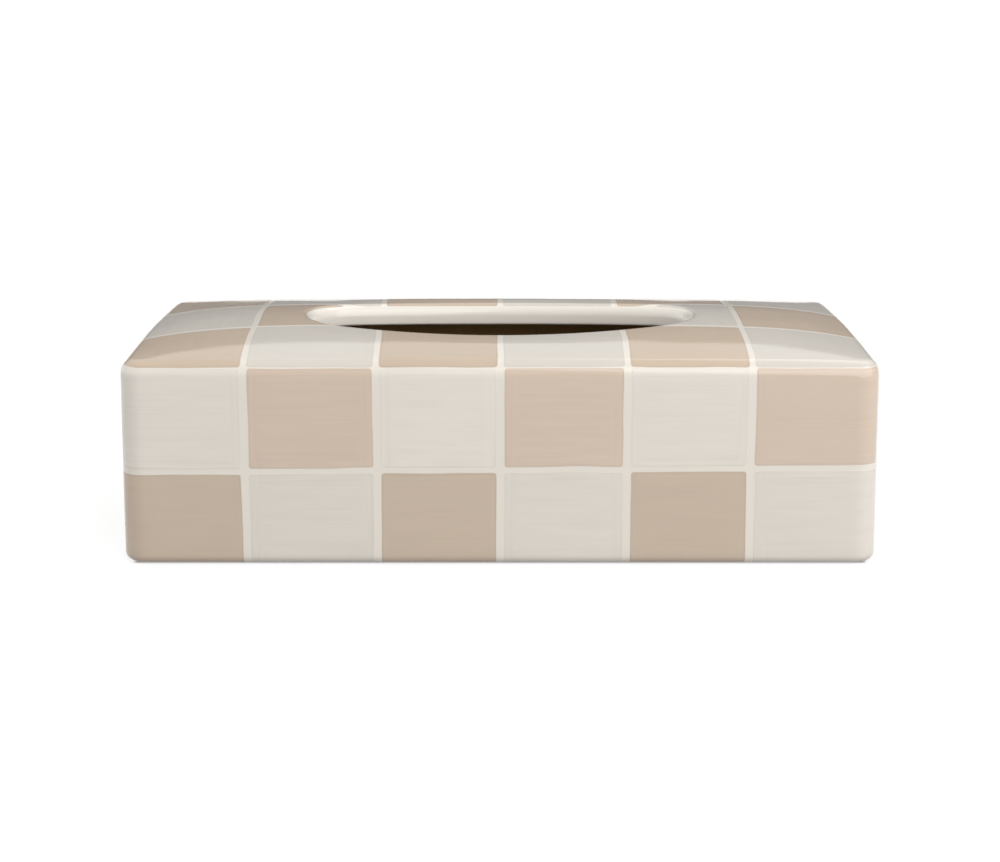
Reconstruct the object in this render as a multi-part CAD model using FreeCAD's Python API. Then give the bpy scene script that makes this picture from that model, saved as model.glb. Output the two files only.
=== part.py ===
import FreeCAD, Part
import math
import os

Vector = FreeCAD.Vector

# Outside of the ceramic cover, in millimetres
cover_length = 260.0
cover_depth = 130.0
side_height = 70.1
corner_radius = 8.0
top_edge_radius = 5.5
rim_outer_radius = 3.0

# Pillow crown of the top; it falls to its edges with the distance to the power of twice a flatness
crown_rise = 6.3
crown_flatness_along = 3
crown_flatness_across = 1

# Cast wall and the inside
wall_thickness = 7.0
top_thickness = 8.0
inner_corner_radius = 12.0
ceiling_edge_chamfer = 4.0
rim_inner_chamfer = 1.0

# Oval slot for the tissues, with a rolled lip
slot_length = 137.0
slot_width = 61.0
slot_side_radius = 160.0
lip_radius = 4.5
lip_under_chamfer = 2.0

# Soft foot pads under the rim's corners
pad_diameter = 6.5
pad_thickness = 1.6
pad_proud = 0.5
pad_edge_chamfer = 0.4
pad_clearance = 0.1

# Levels and sizes that follow from the above
rim_level = pad_proud
edge_level = rim_level + side_height
ceiling_level = edge_level - top_thickness
crest_level = edge_level + crown_rise
inner_length = cover_length - 2 * wall_thickness
inner_depth = cover_depth - 2 * wall_thickness

# Reach of cutting shapes past the faces they cut, and settings for picking edges
overlap = 6.0
tolerance = 0.01
edge_samples = 9


def rounded_block(length, depth, radius, bottom, top):
    """Block centred on the upright axis, with its four upright edges rounded."""
    corner = Vector(-length / 2, -depth / 2, bottom)
    block = Part.makeBox(length, depth, top - bottom, corner)
    upright = [edge for edge in block.Edges if edge.BoundBox.ZLength > tolerance]
    return block.makeFillet(radius, upright)


def even_power_poles(half_span, reach, power):
    """Bezier poles, as place and share, of 1 - (place / half_span) ** power from -reach to reach."""
    fall = (reach / half_span) ** power
    return [(reach * (2 * i / power - 1), 1 - fall * (-1) ** i) for i in range(power + 1)]


def crown_face(level):
    """Pillow face that meets the level along the four edges and rises between them."""
    power_along = 2 * crown_flatness_along
    power_across = 2 * crown_flatness_across
    along = even_power_poles(cover_length / 2, cover_length / 2 + overlap, power_along)
    across = even_power_poles(cover_depth / 2, cover_depth / 2 + overlap, power_across)
    surface = Part.BezierSurface()
    surface.increase(power_along, power_across)
    for i, (x, share_x) in enumerate(along, 1):
        for j, (y, share_y) in enumerate(across, 1):
            surface.setPole(i, j, Vector(x, y, level + crown_rise * share_x * share_y))
    return surface.toShape()


def pillow_block(length, depth, radius, bottom, level):
    """Rounded block closed on top by the pillow crown."""
    block = rounded_block(length, depth, radius, bottom, crest_level + overlap)
    below_crown = crown_face(level).extrude(Vector(0, 0, bottom - crest_level - overlap))
    return block.common(below_crown).Solids[0]


def edges_in(shape, low, high, length, depth):
    """Edges that lie between two levels and inside a centred rectangle seen from above."""
    found = []
    for edge in shape.Edges:
        points = edge.discretize(Number=edge_samples)
        between = all(low < point.z < high for point in points)
        inside_x = all(abs(point.x) < length / 2 + tolerance for point in points)
        inside_y = all(abs(point.y) < depth / 2 + tolerance for point in points)
        if between and inside_x and inside_y:
            found.append(edge)
    return found


def slot_prism():
    """Upright oval of two long side arcs and two end arcs that meet them smoothly."""
    half_length = slot_length / 2
    half_width = slot_width / 2
    side_y = slot_side_radius - half_width
    end_radius = (
        2 * slot_side_radius * half_width - half_length**2 - half_width**2
    ) / (2 * (slot_side_radius - half_length))
    end_x = half_length - end_radius
    reach = slot_side_radius / math.hypot(end_x, side_y)
    join_x = end_x * reach
    join_y = side_y * reach - side_y
    bottom = ceiling_level - overlap
    right_front = Vector(join_x, -join_y, bottom)
    right_back = Vector(join_x, join_y, bottom)
    left_front = Vector(-join_x, -join_y, bottom)
    left_back = Vector(-join_x, join_y, bottom)
    arcs = [
        Part.Arc(left_front, Vector(0, -half_width, bottom), right_front),
        Part.Arc(right_front, Vector(half_length, 0, bottom), right_back),
        Part.Arc(right_back, Vector(0, half_width, bottom), left_back),
        Part.Arc(left_back, Vector(-half_length, 0, bottom), left_front),
    ]
    outline = Part.Wire([arc.toShape() for arc in arcs])
    return Part.Face(outline).extrude(Vector(0, 0, crest_level + overlap - bottom))


def pad_places():
    """Named pad centres, midway across the flat of the rim on each corner's diagonal."""
    diagonal = math.sqrt(0.5)
    outer_corner_x = cover_length / 2 - corner_radius
    outer_corner_y = cover_depth / 2 - corner_radius
    inner_corner_x = inner_length / 2 - inner_corner_radius
    inner_corner_y = inner_depth / 2 - inner_corner_radius
    outer_flat = (corner_radius - rim_outer_radius) * diagonal
    inner_flat = (inner_corner_radius + rim_inner_chamfer) * diagonal
    x = (outer_corner_x + outer_flat + inner_corner_x + inner_flat) / 2
    y = (outer_corner_y + outer_flat + inner_corner_y + inner_flat) / 2
    return {
        "front_left": Vector(-x, -y, 0),
        "front_right": Vector(x, -y, 0),
        "back_left": Vector(-x, y, 0),
        "back_right": Vector(x, y, 0),
    }


def make_cover_shell():
    """One-piece cast cover: crowned top, rolled slot, open underside, recesses for the pads."""
    middle = (rim_level + ceiling_level) / 2
    above = crest_level + overlap
    below = rim_level - overlap

    outside = pillow_block(cover_length, cover_depth, corner_radius, rim_level, edge_level)
    top_edges = edges_in(outside, middle, above, cover_length, cover_depth)
    outside = outside.makeFillet(top_edge_radius, top_edges)
    foot_edges = edges_in(outside, below, middle, cover_length, cover_depth)
    outside = outside.makeFillet(rim_outer_radius, foot_edges)

    cavity = pillow_block(inner_length, inner_depth, inner_corner_radius, below, ceiling_level)
    ceiling_edges = edges_in(cavity, middle, above, inner_length, inner_depth)
    cavity = cavity.makeChamfer(ceiling_edge_chamfer, ceiling_edges)
    shell = outside.cut(cavity).cut(slot_prism())

    lip_middle = crest_level - top_thickness / 2
    lip_edges = edges_in(shell, lip_middle, above, slot_length, slot_width)
    shell = shell.makeFillet(lip_radius, lip_edges)
    underside_level = ceiling_level + crown_rise + tolerance
    under_lip_edges = edges_in(shell, middle, underside_level, slot_length, slot_width)
    shell = shell.makeChamfer(lip_under_chamfer, under_lip_edges)
    inner_rim_edges = edges_in(shell, below, rim_level + tolerance, inner_length, inner_depth)
    shell = shell.makeChamfer(rim_inner_chamfer, inner_rim_edges)

    for place in pad_places().values():
        recess = Part.makeCylinder(pad_diameter / 2 + pad_clearance, pad_thickness, place)
        shell = shell.cut(recess)
    return shell.Solids[0]


def make_pad(place):
    """Round pad with a flat face up and a bevelled edge on its lower face."""
    pad = Part.makeCylinder(pad_diameter / 2, pad_thickness, place)
    lower_edges = [edge for edge in pad.Edges if edge.CenterOfMass.z < tolerance]
    return pad.makeChamfer(pad_edge_chamfer, lower_edges)


os.makedirs("parts", exist_ok=True)
make_cover_shell().exportStep("parts/cover_shell.step")
for corner_name, place in pad_places().items():
    make_pad(place).exportStep(f"parts/foot_pad_{corner_name}.step")
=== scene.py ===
# %% [markdown]
# # A painted ceramic tissue box cover
# The object is a cover for a flat carton of tissues: one casting of white clay, painted by hand with
# beige and cream checks and dipped in a clear gloss glaze. This lesson dresses the exact solids of the
# cover with the things that solids don't hold: the softness of a casting, brushed paint, glaze and
# light.
#
# The solids come first and stay fixed. Every size below is either read from them or is a real size in
# metres, so each new piece lands where the solid is.

# %% Load the solids
import math

import bpy
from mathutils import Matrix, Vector


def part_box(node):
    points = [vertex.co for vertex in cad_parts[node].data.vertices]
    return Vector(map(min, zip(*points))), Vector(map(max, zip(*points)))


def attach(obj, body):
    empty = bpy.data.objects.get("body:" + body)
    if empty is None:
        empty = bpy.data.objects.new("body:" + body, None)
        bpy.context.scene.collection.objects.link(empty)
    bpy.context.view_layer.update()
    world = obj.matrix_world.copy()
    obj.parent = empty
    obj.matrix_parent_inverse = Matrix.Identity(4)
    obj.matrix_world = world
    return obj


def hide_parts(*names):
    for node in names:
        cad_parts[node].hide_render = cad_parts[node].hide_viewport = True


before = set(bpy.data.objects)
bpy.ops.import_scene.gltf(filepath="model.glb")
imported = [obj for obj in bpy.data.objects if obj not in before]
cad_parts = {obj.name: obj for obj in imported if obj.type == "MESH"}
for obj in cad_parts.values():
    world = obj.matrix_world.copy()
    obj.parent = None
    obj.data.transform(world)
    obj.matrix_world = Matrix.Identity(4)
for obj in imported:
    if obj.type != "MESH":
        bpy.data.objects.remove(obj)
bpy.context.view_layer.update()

MM = 0.001
shell_low, shell_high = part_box("cover_shell")
cover_length = shell_high.x - shell_low.x
cover_depth = shell_high.y - shell_low.y
rim_level = shell_low.z
crest_level = shell_high.z
print("cover", [round(v / MM, 2) for v in (cover_length, cover_depth, crest_level - rim_level)], "mm")
print("pieces in the frame:", sorted(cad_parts))

# %% [markdown]
# ## The camera
# The view is the photographer's: a long lens, a little above the cover, square to its front. Two edges
# of known length at different distances fix where the camera stood, so the lens and the place are
# written as real sizes. A shorter lens closer by would also fill the frame, but the top would then look
# deeper than it does.

# %% Camera
LENS = 74.26 * MM
CAMERA_AHEAD = 683.4 * MM
CAMERA_ABOVE_RIM = 208.4 * MM
CAMERA_PITCH = math.radians(13.27)


def new_object(name, data):
    """An object in the scene that holds some data."""
    made = bpy.data.objects.new(name, data)
    bpy.context.scene.collection.objects.link(made)
    return made


camera_data = bpy.data.cameras.new("photo_camera")
camera_data.lens = LENS / MM
camera_data.sensor_fit = "HORIZONTAL"
camera_data.sensor_width = 36.0
camera_data.clip_start = 0.01
camera = new_object("photo_camera", camera_data)
camera.location = (0.0, shell_low.y - CAMERA_AHEAD, rim_level + CAMERA_ABOVE_RIM)
camera.rotation_euler = (math.radians(90.0) - CAMERA_PITCH, 0.0, 0.0)
bpy.context.scene.camera = camera
print("camera at", [round(v, 4) for v in camera.location])

# %% [markdown]
# ## Writing formulas as nodes
# The shape of the cover and the layout of its checks both follow rules, and rules are formulas. Placing
# Math nodes one by one hides a formula, so a small class lets Python's own signs place them: `a + b`
# adds one Add node and returns its output. The same class works in geometry trees and in material
# trees.

# %% Numbers that build nodes
class Number:
    """A value in a node tree. Arithmetic on it adds Math nodes to that tree."""

    def __init__(self, socket):
        self.socket = socket

    def __add__(self, other):
        return math_node("ADD", self, other)

    def __sub__(self, other):
        return math_node("SUBTRACT", self, other)

    def __mul__(self, other):
        return math_node("MULTIPLY", self, other)

    def __truediv__(self, other):
        return math_node("DIVIDE", self, other)

    def __pow__(self, other):
        return math_node("POWER", self, other)

    def __rsub__(self, other):
        return math_node("SUBTRACT", other, self)

    def __neg__(self):
        return self * -1.0

    def __abs__(self):
        return math_node("ABSOLUTE", self)

    __radd__ = __add__
    __rmul__ = __mul__


def feed(socket, value):
    """Links a Number or a socket to a socket, or sets the socket to a plain value."""
    source = getattr(value, "socket", value)
    if isinstance(source, bpy.types.NodeSocket):
        socket.id_data.links.new(source, socket)
    else:
        socket.default_value = value


def add_node(tree, kind, settings=None, **inputs):
    """Adds a node. Settings are its properties, and inputs are fed by name, with _ for a space."""
    node = tree.nodes.new(kind)
    for name, value in (settings or {}).items():
        setattr(node, name, value)
    for name, value in inputs.items():
        feed(node.inputs[name.replace("_", " ")], value)
    return node


def math_node(operation, *values):
    """One Math node, in the tree of the first Number among its values."""
    tree = next(value.socket.id_data for value in values if isinstance(value, Number))
    node = add_node(tree, "ShaderNodeMath", {"operation": operation})
    for socket, value in zip(node.inputs, values):
        feed(socket, value)
    return Number(node.outputs[0])


def least(first, *others):
    for other in others:
        first = math_node("MINIMUM", first, other)
    return first


def greatest(first, *others):
    for other in others:
        first = math_node("MAXIMUM", first, other)
    return first


def sine(angle):
    return math_node("SINE", angle)


def cosine(angle):
    return math_node("COSINE", angle)


def sign(value):
    return math_node("SIGN", value)


def blend(first, second, share):
    return first + (second - first) * share


def ramp(value, low, high):
    """0 below low, 1 above high and a smooth rise between them."""
    node = add_node(value.socket.id_data, "ShaderNodeMapRange", {"interpolation_type": "SMOOTHSTEP"})
    feed(node.inputs["Value"], value)
    feed(node.inputs["From Min"], low)
    feed(node.inputs["From Max"], high)
    return Number(node.outputs[0])


def vector(x, y, z):
    """The output of a Combine XYZ node."""
    tree = next(value.socket.id_data for value in (x, y, z) if isinstance(value, Number))
    return add_node(tree, "ShaderNodeCombineXYZ", X=x, Y=y, Z=z).outputs[0]


def scaled(socket, factor):
    """A vector or a colour, times a Number."""
    tree = factor.socket.id_data
    node = add_node(tree, "ShaderNodeVectorMath", {"operation": "SCALE"}, Vector=socket, Scale=factor)
    return node.outputs[0]


def components(socket):
    """The three Numbers of a vector socket."""
    node = add_node(socket.id_data, "ShaderNodeSeparateXYZ", Vector=socket)
    return [Number(output) for output in node.outputs]


def floats(*names):
    return dict.fromkeys(names, "Float")


def new_group(name, kind, inputs, outputs):
    """An empty node group, its inputs as Numbers by name, and the sockets that its outputs feed."""
    tree = bpy.data.node_groups.new(name, kind)
    for label, socket_type in inputs.items():
        tree.interface.new_socket(label, in_out="INPUT", socket_type="NodeSocket" + socket_type)
    for label, socket_type in outputs.items():
        tree.interface.new_socket(label, in_out="OUTPUT", socket_type="NodeSocket" + socket_type)
    given = tree.nodes.new("NodeGroupInput")
    result = tree.nodes.new("NodeGroupOutput")
    numbers = {socket.name: Number(socket) for socket in given.outputs if socket.name}
    return tree, numbers, result.inputs


def use_group(tree, group, **inputs):
    """Places a group in a tree and returns its outputs as Numbers by name."""
    kind = "GeometryNodeGroup" if tree.bl_idname == "GeometryNodeTree" else "ShaderNodeGroup"
    node = add_node(tree, kind, {"node_tree": group}, **inputs)
    return {socket.name: Number(socket) for socket in node.outputs}


print("formula helpers ready")

# %% [markdown]
# ## Outlines of the cover
# Seen from above, the cover is three nested outlines: the outer wall, the inner wall and the slot. Each
# is made of straight runs and arcs. A polygon traced by hand would do for one size, but a formula gives
# the exact arcs, and it also gives the outline moved in or out along its own normal, which every
# rounding of the profile needs.
#
# `turn` goes from 0 to 1 round the outline, starting at the right. Both outlines are alike in their
# four quarters, so the formula only walks the first quarter, and mirrors it.

# %% Outline groups
QUARTER_TURN = math.pi / 2


def quarter_signs(turn):
    """Which side of the middle a point lies on, along and across."""
    angle = turn * (4 * QUARTER_TURN)
    return sign(cosine(angle)), sign(sine(angle))


def build_wall_outline():
    """Rounded rectangle, with the distance along it from the middle of the nearest corner."""
    tree, size, out = new_group(
        "wall_outline",
        "GeometryNodeTree",
        floats("Turn", "Length", "Depth", "Corner Radius", "Inset"),
        floats("X", "Y", "Round Corner"),
    )
    radius = size["Corner Radius"]
    straight_x = size["Length"] / 2 - radius
    straight_y = size["Depth"] / 2 - radius
    corner_arc = radius * QUARTER_TURN
    quarter = straight_x + straight_y + corner_arc
    walked = math_node("PINGPONG", size["Turn"] * quarter * 4, quarter)
    past_side = walked - straight_y
    angle = greatest(least(past_side / radius, QUARTER_TURN), 0.0)
    reach = radius - size["Inset"]
    sign_x, sign_y = quarter_signs(size["Turn"])
    feed(out["X"], sign_x * (straight_x - greatest(past_side - corner_arc, 0.0) + reach * cosine(angle)))
    feed(out["Y"], sign_y * (least(walked, straight_y) + reach * sine(angle)))
    feed(out["Round Corner"], past_side - corner_arc / 2)
    return tree


def build_slot_outline():
    """Oval of two long side arcs and two end arcs that meet smoothly."""
    tree, size, out = new_group(
        "slot_outline",
        "GeometryNodeTree",
        floats("Turn", "Length", "Width", "Side Radius", "Outset"),
        floats("X", "Y"),
    )
    half_length = size["Length"] / 2
    half_width = size["Width"] / 2
    side_radius = size["Side Radius"]
    side_y = side_radius - half_width
    doubled = side_radius * half_width * 2 - half_length * half_length - half_width * half_width
    end_radius = doubled / ((side_radius - half_length) * 2)
    end_x = half_length - end_radius
    join_angle = math_node("ARCTAN2", side_y, end_x)
    end_arc = end_radius * join_angle
    quarter = end_arc + side_radius * (QUARTER_TURN - join_angle)
    walked = math_node("PINGPONG", size["Turn"] * quarter * 4, quarter)
    end_angle = least(walked / end_radius, join_angle)
    side_angle = join_angle + greatest(walked - end_arc, 0.0) / side_radius
    normal_angle = end_angle + side_angle - join_angle
    x = end_x + end_radius * cosine(end_angle) + side_radius * (cosine(side_angle) - cosine(join_angle))
    y = end_radius * sine(end_angle) + side_radius * (sine(side_angle) - sine(join_angle))
    sign_x, sign_y = quarter_signs(size["Turn"])
    feed(out["X"], sign_x * (x + size["Outset"] * cosine(normal_angle)))
    feed(out["Y"], sign_y * (y + size["Outset"] * sine(normal_angle)))
    return tree


wall_outline = build_wall_outline()
slot_outline = build_slot_outline()
print("outline nodes:", len(wall_outline.nodes), "and", len(slot_outline.nodes))

# %% [markdown]
# ## The crown of the top
# The top isn't flat: it meets its edges almost level and swells between them, like a pillow. Across the
# depth it is a plain arch with slightly full shoulders, and along the length it is flatter in the
# middle and falls faster near the ends, so the distance is raised to a higher power there. Round the
# slot the clay has lost its support, and in the kiln it sank by about a millimetre, more behind the
# slot than in front of it. The top edges of the two ends keep a low arch.

# %% Crown group
CROWN_POWER_ALONG = 6.0
CROWN_POWER_ACROSS = 2.0
SHOULDER_POWER = 4.0
SHOULDER_FULLNESS = 0.7
SAG_START = 0.95
SAG_REACH = 1.55
SAG_BACK_SHARE = 0.2
END_ARCH = 0.25
CROWN_INPUTS = ("X", "Y", "Length", "Depth", "Rise", "Slot Length", "Slot Width", "Sag")


def build_crown():
    """Height of the crown over the level of the edges, at a place seen from above."""
    tree, size, out = new_group("crown", "GeometryNodeTree", floats(*CROWN_INPUTS), floats("Height"))
    along = abs(size["X"]) / (size["Length"] / 2)
    across = abs(size["Y"]) / (size["Depth"] / 2)
    shoulders = 1.0 + across**SHOULDER_POWER * SHOULDER_FULLNESS
    lengthwise = 1.0 - along**CROWN_POWER_ALONG * (1.0 - END_ARCH)
    height = size["Rise"] * lengthwise * (1.0 - across**CROWN_POWER_ACROSS) * shoulders
    slot_x = size["X"] / (size["Slot Length"] / 2)
    slot_y = size["Y"] / (size["Slot Width"] / 2)
    from_slot = math_node("SQRT", slot_x * slot_x + slot_y * slot_y)
    back_share = (1.0 - SAG_BACK_SHARE) + greatest(least(slot_y, 1.0), -1.0) * SAG_BACK_SHARE
    mid_share = 1.0 - least(slot_x * slot_x, 1.0)
    sag = size["Sag"] * back_share * mid_share * (1.0 - ramp(from_slot, SAG_START, SAG_REACH))
    feed(out["Height"], height - sag)
    return tree


crown = build_crown()
print("crown nodes:", len(crown.nodes))

# %% [markdown]
# ## The cast shell
# A casting is one skin that turns every edge softly: up the wall, over the edge, across the crown, down
# through the slot, along the ceiling and down inside to the rim. Modelling it from a box with bevels
# would leave long triangles on the crown. Here each stretch of that path is a strip of grid that a
# formula bends into place, and the strips are joined and welded into one closed skin of even four-sided
# faces.
#
# Each strip also stores what the paint will need: how far a point lies past the top edge, past the
# nearest upright corner and outside the lip, measured along the surface.

# %% Sizes of the shell
sizes = {
    "Cover Length": cover_length,
    "Cover Depth": cover_depth,
    "Rim Level": rim_level,
    "Side Height": 70.1 * MM,
    "Crown Rise": 6.8 * MM,
    "Lip Sag": 1.2 * MM,
    "Corner Radius": 8.0 * MM,
    "Edge Rounding": 4.8 * MM,
    "Foot Rounding": 3.0 * MM,
    "Top Lean": 0.2 * MM,
    "Foot Lean": -0.5 * MM,
    "Wall": 7.0 * MM,
    "Top Thickness": 7.8 * MM,
    "Inner Corner Radius": 12.0 * MM,
    "Ceiling Rounding": 6.0 * MM,
    "Inner Rim Rounding": 1.0 * MM,
    "Slot Length": 137.0 * MM,
    "Slot Width": 61.0 * MM,
    "Slot Side Radius": 144.0 * MM,
    "Lip Rounding": 4.5 * MM,
    "Under Lip Rounding": 0.9 * MM,
    "Hand Wobble": 0.35 * MM,
    "Seed": 7.0,
}
STEPS_AROUND = 480
ROWS = {
    "foot": 6,
    "wall": 24,
    "edge": 12,
    "crown": 36,
    "lip": 12,
    "slot": 2,
    "under lip": 6,
    "ceiling": 14,
    "ceiling edge": 6,
    "inner wall": 8,
    "inner rim": 4,
    "rim": 4,
}
OUTSIDE, INSIDE, RIM = range(3)
MEASURES = ("over_edge", "round_corner", "past_lip")
print("wall", sizes["Wall"] / MM, "mm, top", sizes["Top Thickness"] / MM, "mm")

# %% [markdown]
# The cover has four finishes and the floor one. The geometry only needs their names, so they start
# empty here and are filled once the shape is done.

# %% Finishes by name
def empty_finish(name):
    """A material with an empty tree."""
    material = bpy.data.materials.new(name)
    material.use_nodes = True
    material.node_tree.nodes.clear()
    return material


painted_glaze = empty_finish("painted_glaze")
painted_shade_inside = empty_finish("painted_shade_inside")
bare_clay = empty_finish("bare_clay")
milky_silicone = empty_finish("milky_silicone")
pale_floor = empty_finish("pale_floor")
print("finishes:", [material.name for material in bpy.data.materials])

# %% [markdown]
# A strip starts as a flat grid, one unit wide and deep. One direction of the grid goes round the
# cover and the other along the profile, and the two together say where a point belongs.

# %% One strip of the shell
def unit_grid(tree, steps_around, steps_up):
    """A flat grid one unit wide and deep."""
    grid = add_node(tree, "GeometryNodeMeshGrid", Size_X=1.0, Size_Y=1.0)
    grid.inputs["Vertices X"].default_value = steps_around + 1
    grid.inputs["Vertices Y"].default_value = steps_up + 1
    return grid.outputs["Mesh"]


def strip(tree, stretch, zone, place, measures=()):
    """A grid whose points move to a place, with the paint's measures stored on its points."""
    geometry = unit_grid(tree, STEPS_AROUND, ROWS[stretch])
    for name, value in zip(MEASURES, measures):
        store = add_node(tree, "GeometryNodeStoreNamedAttribute", Geometry=geometry, Name=name, Value=value)
        geometry = store.outputs["Geometry"]
    on_faces = {"data_type": "INT", "domain": "FACE"}
    store = add_node(
        tree, "GeometryNodeStoreNamedAttribute", on_faces, Geometry=geometry, Name="zone", Value=zone
    )
    geometry = store.outputs["Geometry"]
    move = add_node(tree, "GeometryNodeSetPosition", Geometry=geometry, Position=vector(*place))
    return move.outputs["Geometry"]


print("strips:", len(ROWS), "with", sum(ROWS.values()), "rows in all")

# %% [markdown]
# Each strip asks the same things: where the outer wall, the inner wall or the slot is at this turn, and
# how high the top is there. One class answers, so a strip only says how far in or out it lies.

# %% The plan of the shell at any inset
class ShellPlan:
    """Places seen from above, and the height of the crown there, in one geometry tree."""

    def __init__(self, tree, size, turn):
        self.tree = tree
        self.size = size
        self.turn = turn

    def wall(self, length, depth, radius, inset):
        place = {"Turn": self.turn, "Length": length, "Depth": depth, "Corner_Radius": radius}
        return use_group(self.tree, wall_outline, Inset=inset, **place)

    def outer(self, inset):
        size = self.size
        found = self.wall(size["Cover Length"], size["Cover Depth"], size["Corner Radius"], inset)
        self.round_corner = found["Round Corner"]
        return found["X"], found["Y"]

    def inner(self, inset):
        size = self.size
        length = size["Cover Length"] - size["Wall"] * 2
        depth = size["Cover Depth"] - size["Wall"] * 2
        found = self.wall(length, depth, size["Inner Corner Radius"], inset)
        return found["X"], found["Y"]

    def slot(self, outset):
        size = self.size
        place = {"Turn": self.turn, "Length": size["Slot Length"], "Width": size["Slot Width"]}
        radius = size["Slot Side Radius"]
        found = use_group(self.tree, slot_outline, Side_Radius=radius, Outset=outset, **place)
        return found["X"], found["Y"]

    def top(self, x, y):
        size = self.size
        found = use_group(
            self.tree,
            crown,
            X=x,
            Y=y,
            Length=size["Cover Length"],
            Depth=size["Cover Depth"],
            Rise=size["Crown Rise"],
            Slot_Length=size["Slot Length"],
            Slot_Width=size["Slot Width"],
            Sag=size["Lip Sag"],
        )
        return size["Rim Level"] + size["Side Height"] + found["Height"]


def between(first, second, share):
    """A place seen from above, part of the way from one place to another."""
    return blend(first[0], second[0], share), blend(first[1], second[1], share)


print("plan:", wall_outline.name, slot_outline.name, crown.name)

# %% [markdown]
# Now the path, strip by strip. A rounding is a quarter turn: the sine of its bend moves a point one way
# and the cosine the other. Under the ceiling the paint's measures are left out; nothing is painted there.

# %% All strips of the shell
# Measures, in metres, of points that lie past every painted line or under the lip
PAST_ALL = 0.1
UNDER_LIP = -0.02
WALL_LEAN_POWER = 5.0


def outside_strips(tree, size, turn, step):
    """Foot, wall, edge, crown and lip, from the floor up and over to the slot."""
    plan = ShellPlan(tree, size, turn)
    bend = step * QUARTER_TURN
    foot, edge, lip = size["Foot Rounding"], size["Edge Rounding"], size["Lip Rounding"]
    rise_out = 1.0 - cosine(bend)
    turn_in = 1.0 - sine(bend)
    half_arc = edge * (QUARTER_TURN / 2)
    wall_foot = size["Rim Level"] + foot
    wall_top = plan.top(*plan.outer(size["Top Lean"])) - edge
    wall_arc = wall_top - wall_foot

    x, y = plan.outer(size["Foot Lean"] + foot * turn_in)
    z = size["Rim Level"] + foot * rise_out
    below = -(half_arc + wall_arc + foot * (QUARTER_TURN - bend))
    yield strip(tree, "foot", OUTSIDE, (x, y, z), (below, plan.round_corner, PAST_ALL))

    lean = size["Foot Lean"] * (1.0 - step) * (1.0 - step) + size["Top Lean"] * step**WALL_LEAN_POWER
    x, y = plan.outer(lean)
    z = blend(wall_foot, wall_top, step)
    measures = (z - wall_top - half_arc, plan.round_corner, PAST_ALL)
    yield strip(tree, "wall", OUTSIDE, (x, y, z), measures)

    x, y = plan.outer(size["Top Lean"] + edge * rise_out)
    z = plan.top(x, y) - edge * turn_in
    measures = (edge * bend - half_arc, plan.round_corner, PAST_ALL)
    yield strip(tree, "edge", OUTSIDE, (x, y, z), measures)

    border = plan.outer(size["Top Lean"] + edge)
    lip_start = plan.slot(lip)
    x, y = between(border, lip_start, step)
    run = math_node("SQRT", (border[0] - lip_start[0]) ** 2.0 + (border[1] - lip_start[1]) ** 2.0)
    measures = (half_arc + run * step, plan.round_corner, run * (1.0 - step))
    yield strip(tree, "crown", OUTSIDE, (x, y, plan.top(x, y)), measures)

    x, y = plan.slot(lip * turn_in)
    z = plan.top(x, y) - lip * rise_out
    measures = (half_arc + run, plan.round_corner, -lip * bend)
    yield strip(tree, "lip", OUTSIDE, (x, y, z), measures)


def inside_strips(tree, size, turn, step):
    """Slot wall, underside of the lip, ceiling, inner wall and rim, from the lip down to the floor."""
    plan = ShellPlan(tree, size, turn)
    bend = step * QUARTER_TURN
    rise_out = 1.0 - cosine(bend)
    turn_in = 1.0 - sine(bend)
    thick, under = size["Top Thickness"], size["Under Lip Rounding"]
    ceiling, rim = size["Ceiling Rounding"], size["Inner Rim Rounding"]
    lip_measures = (PAST_ALL, PAST_ALL, UNDER_LIP)

    x, y = plan.slot(0.0)
    z = plan.top(x, y) - blend(size["Lip Rounding"], thick - under, step)
    yield strip(tree, "slot", OUTSIDE, (x, y, z), lip_measures)

    x, y = plan.slot(under * rise_out)
    z = plan.top(x, y) - thick + under * turn_in
    yield strip(tree, "under lip", OUTSIDE, (x, y, z), lip_measures)

    x, y = between(plan.slot(under), plan.inner(ceiling), step)
    yield strip(tree, "ceiling", INSIDE, (x, y, plan.top(x, y) - thick))

    x, y = plan.inner(ceiling * turn_in)
    z = plan.top(x, y) - thick - ceiling * rise_out
    yield strip(tree, "ceiling edge", INSIDE, (x, y, z))

    x, y = plan.inner(0.0)
    z = blend(plan.top(x, y) - thick - ceiling, size["Rim Level"] + rim, step)
    yield strip(tree, "inner wall", INSIDE, (x, y, z))

    x, y = plan.inner(-rim * rise_out)
    yield strip(tree, "inner rim", RIM, (x, y, size["Rim Level"] + rim * turn_in))

    outer_foot = plan.outer(size["Foot Lean"] + size["Foot Rounding"])
    x, y = between(plan.inner(-rim), outer_foot, step)
    yield strip(tree, "rim", RIM, (x, y, size["Rim Level"]))


print("path of the skin:", ", ".join(ROWS))

# %% [markdown]
# A casting leaves its mould a little uneven, and drying and firing add to that. The last step of the
# tree presses the skin in and out by a fraction of a millimetre along its normals, following slow noise
# with a fixed seed. It fades out at the foot, which stands level.

# %% Weld the strips and add the wobble
WELD_DISTANCE = 2e-6
WOBBLE_SCALE = 22.0
WOBBLE_FROM = 3.0 * MM
WOBBLE_FULL = 20.0 * MM


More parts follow.
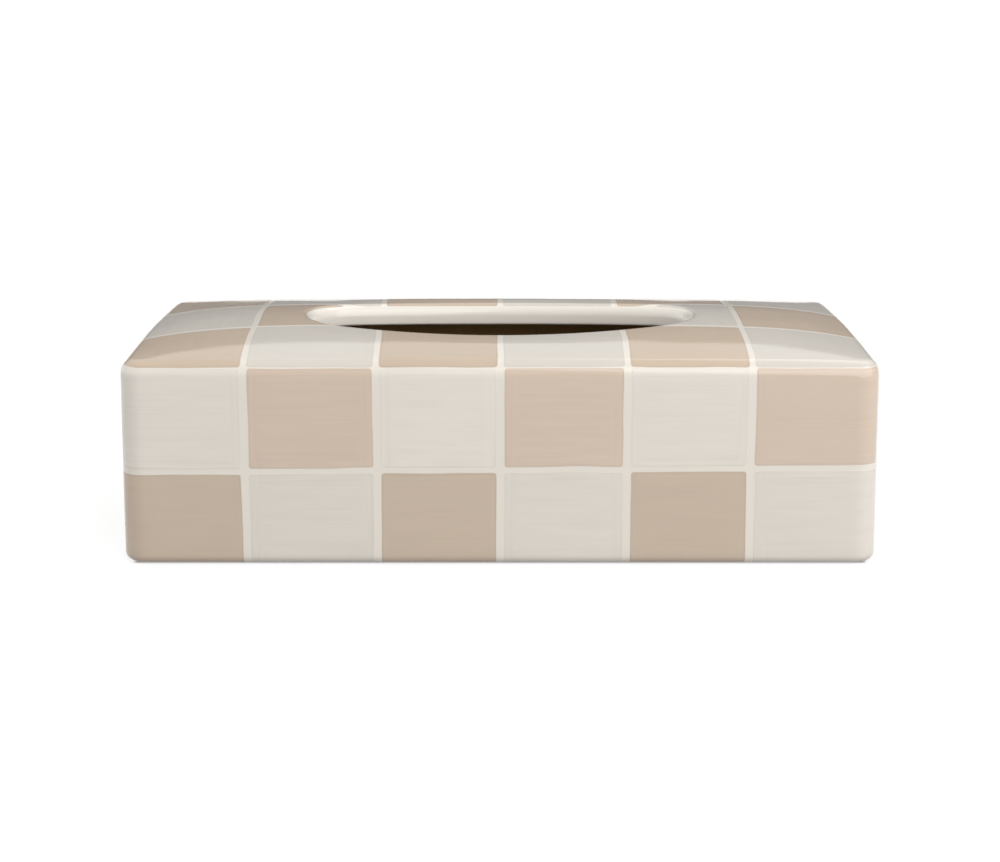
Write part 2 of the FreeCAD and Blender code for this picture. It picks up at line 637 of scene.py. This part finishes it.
def wobbled(tree, size, geometry):
    """The geometry, pushed in and out along its normals by slow noise."""
    position = tree.nodes.new("GeometryNodeInputPosition").outputs[0]
    normal = tree.nodes.new("GeometryNodeInputNormal").outputs[0]
    inputs = {"Vector": position, "W": size["Seed"], "Scale": WOBBLE_SCALE, "Detail": 1.0}
    noise = add_node(tree, "ShaderNodeTexNoise", {"noise_dimensions": "4D"}, **inputs)
    height = components(position)[2]
    above_foot = ramp(height, size["Rim Level"] + WOBBLE_FROM, size["Rim Level"] + WOBBLE_FULL)
    amount = (Number(noise.outputs[0]) - 0.5) * size["Hand Wobble"] * above_foot
    offset = scaled(normal, amount)
    moved = add_node(tree, "GeometryNodeSetPosition", Geometry=geometry, Offset=offset)
    return moved.outputs[0]


def finish_by_zone(tree, geometry, main_finish, finishes):
    """Realizes the geometry, sets its main finish and then the finish of each other zone of faces."""
    geometry = add_node(tree, "GeometryNodeRealizeInstances", Geometry=geometry).outputs[0]
    geometry = add_node(tree, "GeometryNodeSetMaterial", Geometry=geometry, Material=main_finish).outputs[0]
    zone = add_node(tree, "GeometryNodeInputNamedAttribute", {"data_type": "INT"}, Name="zone")
    for number, material in finishes.items():
        same = add_node(tree, "FunctionNodeCompare", {"data_type": "INT", "operation": "EQUAL"})
        tree.links.new(zone.outputs["Attribute"], same.inputs["A"])
        same.inputs["B"].default_value = number
        paint = add_node(
            tree, "GeometryNodeSetMaterial", Geometry=geometry, Selection=same.outputs[0], Material=material
        )
        geometry = paint.outputs[0]
    return geometry


def build_shell_tree():
    """The whole skin of the shell as one geometry tree with its sizes as inputs."""
    tree, size, out = new_group(
        "cover_shell_skin", "GeometryNodeTree", floats(*sizes), {"Geometry": "Geometry"}
    )
    grid_x, grid_y, _ = components(tree.nodes.new("GeometryNodeInputPosition").outputs[0])
    turn = grid_x + 0.5
    step = grid_y + 0.5
    join = tree.nodes.new("GeometryNodeJoinGeometry")
    outside = outside_strips(tree, size, turn, step)
    inside = inside_strips(tree, size, turn, step)
    for geometry in [*outside, *inside]:
        tree.links.new(geometry, join.inputs[0])
    weld = add_node(tree, "GeometryNodeMergeByDistance", Geometry=join.outputs[0], Distance=WELD_DISTANCE)
    smooth = add_node(tree, "GeometryNodeSetShadeSmooth", Geometry=wobbled(tree, size, weld.outputs[0]))
    other_finishes = {INSIDE: painted_shade_inside, RIM: bare_clay}
    feed(out["Geometry"], finish_by_zone(tree, smooth.outputs[0], painted_glaze, other_finishes))
    return tree


print("wobble up to", sizes["Hand Wobble"] / MM / 2, "mm each way")

# %% [markdown]
# A tree could stay on its object as a modifier. The part is handed on as a plain mesh, so here the tree
# runs once with its sizes, and the mesh that it makes is kept.

# %% From a tree to a plain mesh
def piece_from_tree(name, tree, values, points=()):
    """An object whose plain mesh is what the tree makes of some points."""
    seed_mesh = bpy.data.meshes.new(name)
    seed_mesh.from_pydata(list(points), [], [])
    piece = new_object(name, seed_mesh)
    modifier = piece.modifiers.new(name, "NODES")
    modifier.node_group = tree
    for item in tree.interface.items_tree:
        if item.in_out == "INPUT" and item.name in values:
            modifier[item.identifier] = values[item.name]
    evaluated = piece.evaluated_get(bpy.context.evaluated_depsgraph_get())
    mesh = bpy.data.meshes.new_from_object(evaluated)
    empty_slots = [place for place, material in enumerate(mesh.materials) if material is None]
    for place in reversed(empty_slots):
        mesh.materials.pop(index=place)
    piece.modifiers.remove(modifier)
    piece.data = mesh
    mesh.name = name
    bpy.data.meshes.remove(seed_mesh)
    return piece


shell = piece_from_tree("painted_cover", build_shell_tree(), sizes)
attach(shell, "root")
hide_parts("cover_shell")
corners = [Vector(corner) for corner in shell.bound_box]
for place, material in enumerate(shell.data.materials):
    count = sum(face.material_index == place for face in shell.data.polygons)
    print("shell:", count, "faces of", material.name)
print("shell box in mm:", [round(v / MM, 2) for v in corners[0]], [round(v / MM, 2) for v in corners[6]])

# %% [markdown]
# ## The foot pads
# Four soft round pads sit in recesses under the rim's corners and keep the glazed foot off the table.
# They repeat, so one pad is modelled and instanced on four points, which are the middles of the pads'
# solids. A pad is a disc with soft edges; the rule for such a form is a superellipse turned about its
# axis, flat on both faces and round between them, so it takes one grid and no bevel.

# %% Pads
PAD_STEPS_AROUND = 48
PAD_STEPS_UP = 24
PAD_SQUARENESS = 9.0


def signed_power(value, power):
    return sign(value) * abs(value) ** power


def build_pad_tree():
    """A round pad with soft edges, on each point of the incoming mesh."""
    tree, size, out = new_group(
        "foot_pads_on_points",
        "GeometryNodeTree",
        {"Geometry": "Geometry", "Radius": "Float", "Thickness": "Float"},
        {"Geometry": "Geometry"},
    )
    grid = unit_grid(tree, PAD_STEPS_AROUND, PAD_STEPS_UP)
    grid_x, grid_y, _ = components(tree.nodes.new("GeometryNodeInputPosition").outputs[0])
    around = grid_x * (4 * QUARTER_TURN)
    up = grid_y * (2 * QUARTER_TURN)
    reach = size["Radius"] * greatest(cosine(up), 0.0) ** (2.0 / PAD_SQUARENESS)
    z = size["Thickness"] / 2 * signed_power(sine(up), 2.0 / PAD_SQUARENESS)
    place = vector(reach * cosine(around), reach * sine(around), z)
    pad = add_node(tree, "GeometryNodeSetPosition", Geometry=grid, Position=place)
    weld = add_node(tree, "GeometryNodeMergeByDistance", Geometry=pad.outputs[0], Distance=WELD_DISTANCE)
    smooth = add_node(tree, "GeometryNodeSetShadeSmooth", Geometry=weld.outputs[0])
    copies = add_node(
        tree, "GeometryNodeInstanceOnPoints", Points=size["Geometry"], Instance=smooth.outputs[0]
    )
    feed(out["Geometry"], finish_by_zone(tree, copies.outputs[0], milky_silicone, {}))
    return tree


pad_nodes = sorted(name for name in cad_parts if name.startswith("foot_pad_"))
pad_boxes = [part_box(name) for name in pad_nodes]
pad_low, pad_high = pad_boxes[0]
pad_sizes = {"Radius": (pad_high.x - pad_low.x) / 2, "Thickness": pad_high.z - pad_low.z}
pad_middles = [(low + high) / 2 for low, high in pad_boxes]
pads = piece_from_tree("foot_pads", build_pad_tree(), pad_sizes, pad_middles)
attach(pads, "root")
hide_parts(*pad_nodes)
print("pads:", len(pads.data.polygons), "faces on", len(pad_nodes), "places")

# %% [markdown]
# ## Helpers for the finishes
# A finish is a formula too: it starts from places on the surface, works out shares between 0 and 1, and
# mixes colours by them. Places are read in millimetres, so 1.4 mm is written as 1.4.

# %% Colours and places in a material
# Sockets of a Mix node that belong to colours
MIX_SHARE, MIX_FIRST, MIX_SECOND, MIX_RESULT = 0, 6, 7, 2


def mix_colors(first, second, share):
    """One colour at share 0, the other at share 1."""
    node = add_node(share.socket.id_data, "ShaderNodeMix", {"data_type": "RGBA"})
    for place, value in ((MIX_SHARE, share), (MIX_FIRST, first), (MIX_SECOND, second)):
        feed(node.inputs[place], value)
    return node.outputs[MIX_RESULT]


def noise_at(tree, place, detail=1.0):
    """Smooth noise from -1 to 1 at a place, with features about as large as the place's unit."""
    node = add_node(tree, "ShaderNodeTexNoise", Vector=place, Scale=1.0, Detail=detail)
    return (Number(node.outputs[0]) - 0.5) * 2.0


def object_place(tree):
    """Numbers x, y and z of the surface in millimetres."""
    place = tree.nodes.new("ShaderNodeTexCoord").outputs["Object"]
    return [value / MM for value in components(place)]


def stored_measure(tree, name):
    """A measure that the geometry stored on its points, in millimetres."""
    node = add_node(tree, "ShaderNodeAttribute", {"attribute_name": name})
    return Number(node.outputs["Fac"]) / MM


def new_surface(material, **inputs):
    """A Principled shader on the material's output."""
    tree = material.node_tree
    shader = add_node(tree, "ShaderNodeBsdfPrincipled", **inputs)
    add_node(tree, "ShaderNodeOutputMaterial", Surface=shader.outputs[0])
    return shader


def add_relief(tree, shader, height):
    """A height in millimetres, as a bump of the shader's normal."""
    bump = add_node(tree, "ShaderNodeBump", Strength=1.0, Distance=MM, Height=height)
    feed(shader.inputs["Normal"], bump.outputs[0])


print("finish helpers ready")

# %% [markdown]
# ## Effects that several finishes share
# Clay and glaze have the same two flaws everywhere: the tone drifts slowly, because the coat is never
# equally thick, and the surface ripples a little, because the coat ran before it set. Each is made once
# as a group, and each finish sets its own strength and scale. Noise in the object's own space follows
# the form and needs no unwrapping.

# %% Mottle and ripple groups
FINE_RIPPLE_SIZE = 0.22
FINE_RIPPLE_DEPTH = 0.06


def build_mottle():
    """Slow drift of tone, as a factor about 1."""
    tree, given, out = new_group(
        "mottle", "ShaderNodeTree", floats("Size", "Amount", "Seed"), floats("Tone")
    )
    x, y, z = object_place(tree)
    size = given["Size"]
    drift = noise_at(tree, vector(x / size + given["Seed"], y / size, z / size), detail=2.0)
    feed(out["Tone"], 1.0 + drift * given["Amount"])
    return tree


def build_ripple():
    """Low waves of a coat that ran a little, with finer unevenness on them, in millimetres."""
    tree, given, out = new_group(
        "ripple", "ShaderNodeTree", floats("Size", "Depth", "Seed"), floats("Height")
    )
    x, y, z = object_place(tree)
    size = given["Size"]
    waves = noise_at(tree, vector(x / size, y / size + given["Seed"], z / size), detail=0.0)
    fine_size = size * FINE_RIPPLE_SIZE
    fine = noise_at(tree, vector(x / fine_size, y / fine_size, z / fine_size + given["Seed"]), detail=0.0)
    feed(out["Height"], (waves + fine * FINE_RIPPLE_DEPTH) * given["Depth"])
    return tree


mottle = build_mottle()
ripple = build_ripple()
print("shared effects:", mottle.name, ripple.name)

# %% [markdown]
# ## Lines and strokes of a brush
# A painter's line wanders and swells, so the distance from its middle gets slow noise along its
# length. The paint itself keeps the marks of the bristles, which are noise drawn out long in the
# direction of the stroke.

# %% Line and stroke groups
LINE_WAVE = 22.0
SWELL_SHARE = 0.5
SWELL_APART = 5.0
STROKE_LENGTH = 26.0
STROKE_WIDTH = 0.6
SWEEP_WIDTH = 3.0
STROKE_SHARE = 0.6


def build_painted_line():
    """Gap to the border of a hand-painted line, and the side of it, from its straight course."""
    tree, given, out = new_group(
        "painted_line",
        "ShaderNodeTree",
        floats("Across", "Along", "Half Width", "Wander", "Seed"),
        floats("Gap", "Side"),
    )
    seed = given["Seed"]
    wander = noise_at(tree, vector(given["Along"] / LINE_WAVE, seed, 0.0)) * given["Wander"]
    swell = noise_at(tree, vector(given["Along"] / LINE_WAVE, seed, SWELL_APART)) * given["Wander"]
    across = given["Across"] + wander
    feed(out["Gap"], abs(across) - given["Half Width"] - swell * SWELL_SHARE)
    feed(out["Side"], sign(across))
    return tree


def build_strokes():
    """Marks of bristles, from -1 to 1, along one direction."""
    tree, given, out = new_group(
        "brush_strokes", "ShaderNodeTree", floats("Along", "Across", "Seed"), floats("Mark")
    )
    bristles = vector(given["Along"] / STROKE_LENGTH, given["Across"] / STROKE_WIDTH, given["Seed"])
    sweeps = vector(given["Along"] / STROKE_LENGTH, given["Across"] / SWEEP_WIDTH, given["Seed"])
    feed(out["Mark"], (noise_at(tree, bristles) + noise_at(tree, sweeps)) * STROKE_SHARE)
    return tree


painted_line = build_painted_line()
brush_strokes = build_strokes()
print("brush effects:", painted_line.name, brush_strokes.name)

# %% [markdown]
# ## The layout of the checks
# The checks follow three families of lines: columns that run up the front, over the top and down the
# back, rows that run along the top and down the ends, and one row half way up the walls. Two more lines
# follow the top edge and the upright corners. Counting the sides of the lines tells which cell a point
# is in, and an even or odd count tells its colour, so no cell is drawn by itself.
#
# The lines aren't quite square on the real cover: the columns lean outwards to the back, the rows on
# the top bow to the front at the ends, and the row on the walls rises to the right, so each line has
# its own place and drift.

# %% Places of the lines, in millimetres
COLUMNS = ((-87.1, -2.0), (-42.0, -3.0), (0.2, -0.2), (43.4, 0.2), (85.8, 0.5))
TOP_ROWS = (-22.6, 21.9)
TOP_ROW_BOW = 7.0
TOP_ROW_BOW_POWER = 4.0
WALL_ROW = 34.05
WALL_ROW_RISE = 0.75
WALL_LINE = 1.4
WALL_ROW_LINE = 1.0
TOP_LINE = 1.05
EDGE_LINE = 0.15
EDGE_LINE_DROP = 0.35
LINE_WANDER = 0.4
CELL_ROUNDING = 1.6
PAINT_INTO_LIP = 2.0
PAINT_LEAN = 0.8
CORNER_LINE = -4.7
CORNER_LINE_SHIFT = 1.2
LINE_SEED_STEP = 3.7
# Marks that keep the cells of different faces apart
TOP_MARK = 7.0
END_MARK = 13.0
BACK_MARK = 20.0
SLOT_HALF_WIDTH = sizes["Slot Width"] / 2 / MM
half_length_mm = cover_length / 2 / MM
half_depth_mm = cover_depth / 2 / MM


class CheckLayout:
    """Where a point of the surface lies among the painted lines, in one material tree."""

    def __init__(self, tree):
        self.tree = tree
        self.x, self.y, self.z = object_place(tree)
        self.over_edge = stored_measure(tree, "over_edge")
        self.round_corner = stored_measure(tree, "round_corner")
        self.past_lip = stored_measure(tree, "past_lip")
        self.on_top = math_node("GREATER_THAN", self.over_edge, -EDGE_LINE_DROP)
        self.seed = 0.0
        self.find_lines()
        self.find_cells()

    def line(self, across, along, half_width):
        """The gap to one line and the side of it."""
        self.seed += LINE_SEED_STEP
        place = {"Across": across, "Along": along, "Half_Width": half_width}
        found = use_group(self.tree, painted_line, Wander=LINE_WANDER, Seed=self.seed, **place)
        return found["Gap"], found["Side"]

    def find_lines(self):
        back_share = (self.y + half_depth_mm) / (2 * half_depth_mm)
        up_and_back = self.y + self.z
        round_walls = self.x + self.y
        upright = blend(WALL_LINE, TOP_LINE, self.on_top)
        self.columns = [
            self.line(self.x - at - back_share * drift, up_and_back, upright) for at, drift in COLUMNS
        ]
        bow = abs(self.x / half_length_mm) ** TOP_ROW_BOW_POWER * TOP_ROW_BOW
        self.rows = [self.line(self.y - at + bow, self.x + self.z, upright) for at in TOP_ROWS]
        wall_row = self.z - WALL_ROW - self.x * (WALL_ROW_RISE / half_length_mm)
        self.wall_row = self.line(wall_row, round_walls, WALL_ROW_LINE)
        self.edge = self.line(self.over_edge + EDGE_LINE_DROP, round_walls, EDGE_LINE)
        corner = self.round_corner - CORNER_LINE - sign(self.x) * CORNER_LINE_SHIFT
        self.corner = self.line(corner + self.on_top * half_length_mm, self.z, WALL_LINE)

    def find_cells(self):
        column_sides = [side for gap, side in self.columns]
        row_sides = [side for gap, side in self.rows]
        column_parity = math.prod(column_sides[1:], start=column_sides[0])
        row_parity = row_sides[0] * row_sides[1]
        wall_side = self.wall_row[1]
        self.on_end = math_node("LESS_THAN", self.corner[1], 0.0) * (1.0 - self.on_top)
        long_wall = column_parity * wall_side
        end_wall = -(sign(self.x) * row_parity * wall_side)
        walls = blend(long_wall, end_wall, self.on_end)
        parity = blend(walls, -(column_parity * row_parity), self.on_top)
        self.is_beige = math_node("GREATER_THAN", parity, 0.0)
        column_count = sum(column_sides[1:], start=column_sides[0])
        row_count = row_sides[0] + row_sides[1]
        face = self.on_top * TOP_MARK + self.on_end * END_MARK + wall_side
        self.cell = vector(column_count, row_count + sign(self.y) * BACK_MARK, face)

    def gap(self):
        """Distance from a point to the border of its cell, with the cell's corners rounded."""
        to_back = greatest(least(self.y / SLOT_HALF_WIDTH, 1.0), -1.0)
        nearest = self.past_lip + to_back * PAINT_LEAN + PAINT_INTO_LIP
        for line_gap, _ in self.columns + self.rows + [self.wall_row, self.edge, self.corner]:
            nearest = math_node("SMOOTH_MIN", nearest, line_gap, CELL_ROUNDING)
        return nearest

    def side_gap(self):
        """Distance from a point to the nearest column line."""
        return least(*[line_gap for line_gap, _ in self.columns])


print("lines:", len(COLUMNS), "columns,", len(TOP_ROWS), "rows on top, one on the walls, edge and corners")

# %% [markdown]
# ## The painted and glazed outside
# The potter paints the checks in two underglazes over the white ground, leaving it bare in thin lines
# and round the lip, then dips the cover in clear gloss. Colour that gathers at the end of a stroke
# dries a little darker, so each cell has a thin rim inside its border and a fainter one further in.
# Each cell was filled with its own load of paint, so cells differ a little in tone. The glaze itself is
# clear: the shader's own smooth reflection stands for it, and the ripple keeps its reflections from
# looking machined.

# %% Painted glaze
GROUND = (0.75, 0.698, 0.622, 1.0)
# The next colour is painted light: a lighter copy of the ground, for the lip and the slot
LIP_PAINTED_LIGHT = (0.785, 0.737, 0.668, 1.0)
CREAM = (0.738, 0.687, 0.62, 1.0)
LOW_CREAM = (0.69, 0.642, 0.574, 1.0)
# The next cream is painted shade: a darker copy of the cream, used on the top of the cover
TOP_SHADED_CREAM = (0.622, 0.58, 0.522, 1.0)
BEIGE = (0.614, 0.494, 0.399, 1.0)
LOW_BEIGE = (0.558, 0.45, 0.35, 1.0)
BORDER_SOFTNESS = 0.3
POOL_FROM = 0.2
POOL_TO = 0.9
POOLED_TONE = 0.06
POOLED_ON_CREAM = 0.4
INNER_RIM_AT = 2.4
INNER_RIM_HALF = 0.5
INNER_RIM_TONE = 0.012
ROW_SOFTNESS = 1.0
LIP_LIGHT_FROM = -3.0
CELL_TONE = 0.02
CELL_SEED_SPREAD = 40.0
STROKE_TONE = 0.055
LOW_STROKES = 0.8
SIDE_STROKE_REACH = 7.0
PAINT_HEIGHT = 0.05
STROKE_HEIGHT = 0.004
GLAZE_ROUGHNESS = 0.07

tree = painted_glaze.node_tree
checks = CheckLayout(tree)
gap = checks.gap()
painted = ramp(gap, -BORDER_SOFTNESS / 2, BORDER_SOFTNESS / 2)
pooled = (painted - ramp(gap, POOL_FROM, POOL_TO)) * blend(POOLED_ON_CREAM, 1.0, checks.is_beige)
rim_rise = ramp(gap, INNER_RIM_AT - INNER_RIM_HALF, INNER_RIM_AT)
rim_fall = ramp(gap, INNER_RIM_AT, INNER_RIM_AT + INNER_RIM_HALF)
inner_rim = rim_rise - rim_fall
above_row = ramp(checks.z, WALL_ROW - ROW_SOFTNESS, WALL_ROW + ROW_SOFTNESS)
high_on_wall = above_row * (1.0 - checks.on_top)
wall_cream = mix_colors(LOW_CREAM, CREAM, high_on_wall)
# On the top the cream turns to its darker copy, which is painted shade
cream = mix_colors(wall_cream, TOP_SHADED_CREAM, checks.on_top)
beige = mix_colors(LOW_BEIGE, BEIGE, high_on_wall)
paint = mix_colors(cream, beige, checks.is_beige)

chance = add_node(tree, "ShaderNodeTexWhiteNoise", Vector=checks.cell)
cell_tone = 1.0 + (Number(chance.outputs["Value"]) - 0.5) * (2 * CELL_TONE)
cell_seed = Number(chance.outputs["Value"]) * CELL_SEED_SPREAD
round_walls = checks.x + checks.y
long_strokes = use_group(tree, brush_strokes, Along=round_walls, Across=checks.over_edge, Seed=cell_seed)
side_strokes = use_group(tree, brush_strokes, Along=checks.over_edge, Across=checks.x, Seed=cell_seed)
by_side = 1.0 - ramp(checks.side_gap(), 0.0, SIDE_STROKE_REACH)
by_row = 1.0 - ramp(checks.wall_row[0], 0.0, SIDE_STROKE_REACH)
strokes = blend(long_strokes["Mark"], side_strokes["Mark"], by_side) * (by_row * LOW_STROKES + 1.0)
drift = use_group(tree, mottle, Size=38.0, Amount=0.02, Seed=2.0)["Tone"]
marks = 1.0 + strokes * STROKE_TONE - pooled * POOLED_TONE - inner_rim * INNER_RIM_TONE
tone = cell_tone * drift * marks
# Round the lip and in the slot the ground turns to its lighter copy, which is painted light
ground = mix_colors(LIP_PAINTED_LIGHT, GROUND, ramp(checks.past_lip, LIP_LIGHT_FROM, 0.0))
outside_color = mix_colors(ground, scaled(paint, tone), painted)

glaze = new_surface(painted_glaze, Base_Color=outside_color, IOR=1.5)
coat_tone = use_group(tree, mottle, Size=14.0, Amount=0.35, Seed=9.0)["Tone"]
feed(glaze.inputs["Roughness"], coat_tone * GLAZE_ROUGHNESS)
waves = use_group(tree, ripple, Size=16.0, Depth=0.06, Seed=4.0)["Height"]
add_relief(tree, glaze, waves + painted * PAINT_HEIGHT + strokes * STROKE_HEIGHT)
print("painted glaze:", len(tree.nodes), "nodes")

# %% [markdown]
# ## Inside, rim and pads
# The inside isn't meant to be seen. It is painted a dark brown, half matt, which is painted shade for
# the dimness deep inside the cover. The rim was wiped clean before firing so that the cover wouldn't
# stick to the kiln shelf, and shows the bare clay, which is dry and slightly grainy. The pads are
# moulded silicone, milky and dull.

# %% Inside, rim and pad finishes
# The inside colour is painted shade: a dark brown in place of the shade inside the cover
INSIDE_PAINTED_SHADE = (0.32, 0.2, 0.08, 1.0)
INSIDE_GLOSS = 0.2
CLAY = (0.7, 0.66, 0.59, 1.0)
SILICONE = (0.74, 0.74, 0.71, 1.0)


def plain_finish(material, color, roughness, drift, ripple_size, ripple_depth):
    """One colour with the shared mottle and ripple at their own strengths."""
    tree = material.node_tree
    tone = use_group(tree, mottle, Size=20.0, Amount=drift, Seed=6.0)["Tone"]
    shader = new_surface(material, Base_Color=scaled(color[:3], tone), Roughness=roughness)
    waves = use_group(tree, ripple, Size=ripple_size, Depth=ripple_depth, Seed=8.0)["Height"]
    add_relief(tree, shader, waves)
    return shader


inside_shader = plain_finish(
    painted_shade_inside, INSIDE_PAINTED_SHADE, roughness=0.6, drift=0.18, ripple_size=9.0, ripple_depth=0.12
)
inside_shader.inputs["Specular IOR Level"].default_value = INSIDE_GLOSS
plain_finish(bare_clay, CLAY, roughness=0.85, drift=0.06, ripple_size=1.5, ripple_depth=0.05)
plain_finish(milky_silicone, SILICONE, roughness=0.5, drift=0.03, ripple_size=3.0, ripple_depth=0.01)
print("plain finishes:", painted_shade_inside.name, bare_clay.name, milky_silicone.name)

# %% [markdown]
# ## The floor
# The photographer's table is a plain pale sweep. It reaches far behind the cover, so its far edge never
# shows. Only what the camera sees of it, straight or in the glaze, is lifted towards white; it throws
# no more light on the cover, and the shadow stays on it. Under the cover there is no lift, so the floor
# that shows through the slot is as dim as the inside, and far away the lift is full.

# %% Floor
FLOOR_HALF_SIZE = 15.0
FLOOR_GREY = (0.3, 0.3, 0.3, 1.0)
FLOOR_LIFT = 0.79
FAR_LIFT = 0.9
FAR_FROM = 0.5
FAR_FULL = 2.5
LIFT_FROM = -5.0 * MM
LIFT_FULL = -2.0 * MM

floor_mesh = bpy.data.meshes.new("floor")
signs = ((-1, -1), (1, -1), (1, 1), (-1, 1))
floor_corners = [(sx * FLOOR_HALF_SIZE, sy * FLOOR_HALF_SIZE, 0.0) for sx, sy in signs]
floor_mesh.from_pydata(floor_corners, [], [(0, 1, 2, 3)])
floor_mesh.materials.append(pale_floor)
floor = new_object("floor", floor_mesh)

tree = pale_floor.node_tree
floor_shader = new_surface(pale_floor, Base_Color=FLOOR_GREY, Roughness=0.9)
floor_shader.inputs["Specular IOR Level"].default_value = 0.0
floor_shader.inputs["Emission Color"].default_value = (1.0, 1.0, 1.0, 1.0)
ray = tree.nodes.new("ShaderNodeLightPath").outputs
reflected = Number(ray["Is Glossy Ray"]) + Number(ray["Is Transmission Ray"])
seen = least(Number(ray["Is Camera Ray"]) + reflected, 1.0)
floor_x, floor_y, _ = components(tree.nodes.new("ShaderNodeTexCoord").outputs["Object"])
outside_cover = greatest(abs(floor_x) - cover_length / 2, abs(floor_y) - cover_depth / 2)
far = ramp(math_node("SQRT", floor_x * floor_x + floor_y * floor_y), FAR_FROM, FAR_FULL)
lift = blend(FLOOR_LIFT, FAR_LIFT, far) * ramp(outside_cover, LIFT_FROM, LIFT_FULL)
feed(floor_shader.inputs["Emission Strength"], seen * lift)
print("floor half size", FLOOR_HALF_SIZE, "m")

# %% [markdown]
# ## The studio
# The light is a tent: a broad soft front, a white board on the left, a softbox high behind the cover, a
# dimmer ceiling and a weak fill from everywhere. These are written by direction on the sky, because
# light from far away falls evenly. The lower edge of the softbox is sharp: it draws the line between
# the bright front and the darker rear of the glossy top.

# %% Sky of soft light
FILL = 0.17
FRONT = 0.44
LEFT = 1.35
SOFTBOX = 0.62
CEILING = 0.3
SOFTBOX_LOW = math.radians(23.4)
SOFTBOX_LOW_FULL = math.radians(24.6)
FRONT_SPAN = (-0.5, 0.1)
LEFT_SPAN = (0.5, 0.75)
HIGH_SPAN = (0.86, 0.93)
SOFTBOX_SIDES = (0.55, 0.75)
SOFTBOX_BACK = (0.05, 0.25)

studio = bpy.data.worlds.new("soft_studio")
studio.use_nodes = True
bpy.context.scene.world = studio
tree = studio.node_tree
tree.nodes.clear()
right, back, up = components(tree.nodes.new("ShaderNodeTexCoord").outputs["Generated"])
front_wall = ramp(-back, *FRONT_SPAN) * FRONT
left_wall = ramp(-right, *LEFT_SPAN) * LEFT
high = ramp(up, *HIGH_SPAN)
above_low_edge = ramp(up, math.sin(SOFTBOX_LOW), math.sin(SOFTBOX_LOW_FULL))
within_sides = 1.0 - ramp(abs(right), *SOFTBOX_SIDES)
softbox = above_low_edge * (1.0 - high) * within_sides * ramp(back, *SOFTBOX_BACK) * SOFTBOX
light = greatest(front_wall * (1.0 - high), left_wall, softbox, high * CEILING) + FILL
sky = add_node(tree, "ShaderNodeBackground", Color=(1.0, 1.0, 1.0, 1.0), Strength=light)
add_node(tree, "ShaderNodeOutputWorld", Surface=sky.outputs[0])
bpy.context.scene.view_settings.view_transform = "Standard"
print("studio light:", len(tree.nodes), "nodes")

# %% [markdown]
# Two lamps complete the tent. The key is a large softbox at the right of the camera. It stands near, so
# its light falls off from right to left, as it does on the front of the real cover. The other hangs
# high behind the cover and lights the top and the rolled lip.

# %% Lamps
KEY_PLACE = Vector((0.86, -0.85, 0.76))
KEY_POWER = 20.6
KEY_SIZE = 1.75
TOP_LAMP_PLACE = Vector((0.4, 0.45, 1.05))
TOP_LAMP_POWER = 1.5
TOP_LAMP_SIZE = 0.6


def add_softbox(name, place, power, size):
    """A square lamp that faces the cover."""
    data = bpy.data.lights.new(name, "AREA")
    data.shape = "SQUARE"
    data.size = size
    data.energy = power
    lamp = new_object(name, data)
    lamp.location = place
    lamp.rotation_euler = (-place).to_track_quat("-Z", "Y").to_euler()


add_softbox("key_softbox", KEY_PLACE, KEY_POWER, KEY_SIZE)
add_softbox("top_softbox", TOP_LAMP_PLACE, TOP_LAMP_POWER, TOP_LAMP_SIZE)
print("lamps", round(KEY_PLACE.length, 2), "and", round(TOP_LAMP_PLACE.length, 2), "m away")
